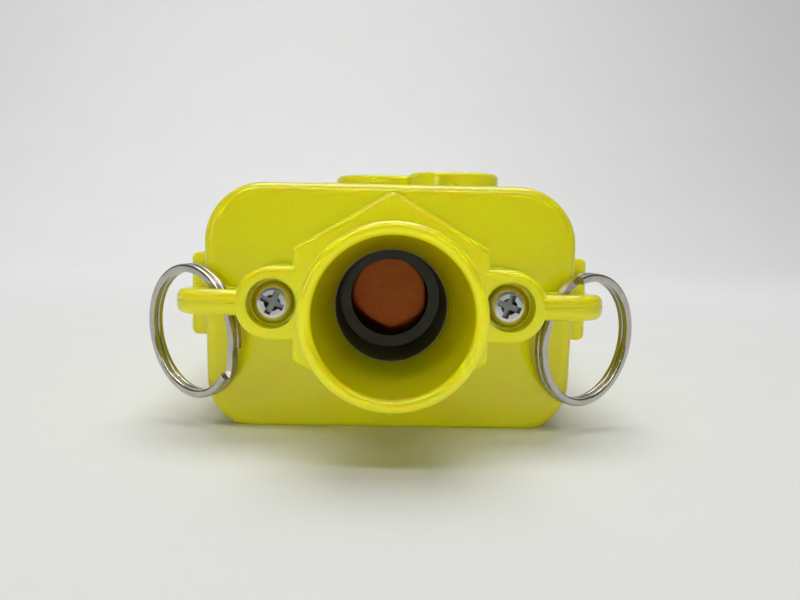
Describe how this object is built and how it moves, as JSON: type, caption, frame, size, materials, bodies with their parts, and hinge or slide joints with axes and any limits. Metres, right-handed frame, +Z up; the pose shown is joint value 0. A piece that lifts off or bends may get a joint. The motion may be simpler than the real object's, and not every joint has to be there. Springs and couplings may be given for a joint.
{
  "type": "hoist pendant control station",
  "caption": "Handheld push-button control station for a hoist: yellow box body, hexagonal cable collar with open tube, strain-relief rings on eye tabs, shrouded stop, start and arrow buttons.",
  "frame": {"origin": "centre of the flat back rest face, halfway along the box body", "axes": "+Z up through the button side, +Y along the body away from the cable entry, +X to the right when looking from the cable entry with the buttons up"},
  "size_m": [0.0932, 0.1972, 0.0495],
  "materials": {
    "yellow_shell": "moulded lemon-yellow plastic, satin gloss",
    "yellow_collar": "moulded lemon-yellow plastic, satin gloss",
    "seal_rubber": "matt black rubber",
    "bush_rubber": "matt black rubber",
    "ring_nickel": "nickel-plated spring steel",
    "zinc_steel": "bright zinc plate",
    "contact_brass": "brass strip",
    "brown_phenolic": "moulded brown phenolic",
    "spring_steel": "drawn spring wire",
    "stop_red": "moulded red plastic",
    "stem_plastic": "natural plastic",
    "start_green": "moulded green plastic",
    "cap_black": "moulded black plastic"
  },
  "bodies": {
    "case": {"housing": "yellow_shell", "back_cover": "yellow_shell", "cover_seal": "seal_rubber", "cover_screws": "zinc_steel", "cable_collar": "yellow_collar", "collar_seal": "seal_rubber", "collar_screws": "zinc_steel", "cable_bushing": "bush_rubber", "mounting_board": "brown_phenolic", "board_screws": "zinc_steel", "contact_strips": "contact_brass", "terminal_screws": "zinc_steel", "button_seals": "seal_rubber", "stop_contact_block": "brown_phenolic", "start_contact_block": "brown_phenolic", "up_contact_block": "brown_phenolic", "down_contact_block": "brown_phenolic", "west_contact_block": "brown_phenolic", "east_contact_block": "brown_phenolic", "south_contact_block": "brown_phenolic", "north_contact_block": "brown_phenolic"},
    "start_plunger": {"start_button": "start_green", "start_contact_bridge": "contact_brass", "start_spring": "spring_steel"},
    "up_plunger": {"up_button": "cap_black", "up_contact_bridge": "contact_brass", "up_spring": "spring_steel"},
    "down_plunger": {"down_button": "cap_black", "down_contact_bridge": "contact_brass", "down_spring": "spring_steel"},
    "west_plunger": {"west_button": "cap_black", "west_contact_bridge": "contact_brass", "west_spring": "spring_steel"},
    "east_plunger": {"east_button": "cap_black", "east_contact_bridge": "contact_brass", "east_spring": "spring_steel"},
    "south_plunger": {"south_button": "cap_black", "south_contact_bridge": "contact_brass", "south_spring": "spring_steel"},
    "north_plunger": {"north_button": "cap_black", "north_contact_bridge": "contact_brass", "north_spring": "spring_steel"},
    "stop_plunger": {"stop_stem": "stem_plastic", "stop_contact_bridge": "contact_brass", "stop_spring": "spring_steel"},
    "stop_knob": {"stop_head": "stop_red"},
    "left_ring": {"split_ring_left": "ring_nickel"},
    "right_ring": {"split_ring_right": "ring_nickel"}
  },
  "joints": [
    {"name": "start_press", "type": "slide", "parent": "case", "child": "start_plunger", "axis": [0, 0, 1], "range_m": [-0.0035, 0], "stiffness_N_per_m": 350, "springref_m": 0.004, "deforming": ["start_spring"]},
    {"name": "up_press", "type": "slide", "parent": "case", "child": "up_plunger", "axis": [0, 0, 1], "range_m": [-0.0035, 0], "stiffness_N_per_m": 350, "springref_m": 0.004, "deforming": ["up_spring"]},
    {"name": "down_press", "type": "slide", "parent": "case", "child": "down_plunger", "axis": [0, 0, 1], "range_m": [-0.0035, 0], "stiffness_N_per_m": 350, "springref_m": 0.004, "deforming": ["down_spring"]},
    {"name": "west_press", "type": "slide", "parent": "case", "child": "west_plunger", "axis": [0, 0, 1], "range_m": [-0.0035, 0], "stiffness_N_per_m": 350, "springref_m": 0.004, "deforming": ["west_spring"]},
    {"name": "east_press", "type": "slide", "parent": "case", "child": "east_plunger", "axis": [0, 0, 1], "range_m": [-0.0035, 0], "stiffness_N_per_m": 350, "springref_m": 0.004, "deforming": ["east_spring"]},
    {"name": "south_press", "type": "slide", "parent": "case", "child": "south_plunger", "axis": [0, 0, 1], "range_m": [-0.0035, 0], "stiffness_N_per_m": 350, "springref_m": 0.004, "deforming": ["south_spring"]},
    {"name": "north_press", "type": "slide", "parent": "case", "child": "north_plunger", "axis": [0, 0, 1], "range_m": [-0.0035, 0], "stiffness_N_per_m": 350, "springref_m": 0.004, "deforming": ["north_spring"]},
    {"name": "stop_press", "type": "slide", "parent": "case", "child": "stop_plunger", "axis": [0, 0, 1], "range_m": [-0.004, 0], "stiffness_N_per_m": 600, "springref_m": 0.005, "deforming": ["stop_spring"]},
    {"name": "stop_twist", "type": "hinge", "parent": "stop_plunger", "child": "stop_knob", "pos_m": [0, -0.032, 0.0436], "axis": [0, 0, -1], "range_deg": [0, 30], "stiffness_Nm_per_rad": 0.02, "springref_deg": -17.19},
    {"name": "left_ring_swivel", "type": "hinge", "parent": "case", "child": "left_ring", "pos_m": [-0.0294, -0.0886, 0.0241], "axis": [0, 0, 1], "range_deg": [-6, 125]},
    {"name": "right_ring_swivel", "type": "hinge", "parent": "case", "child": "right_ring", "pos_m": [0.0294, -0.0886, 0.0241], "axis": [0, 0, -1], "range_deg": [-10, 125]}
  ]
}
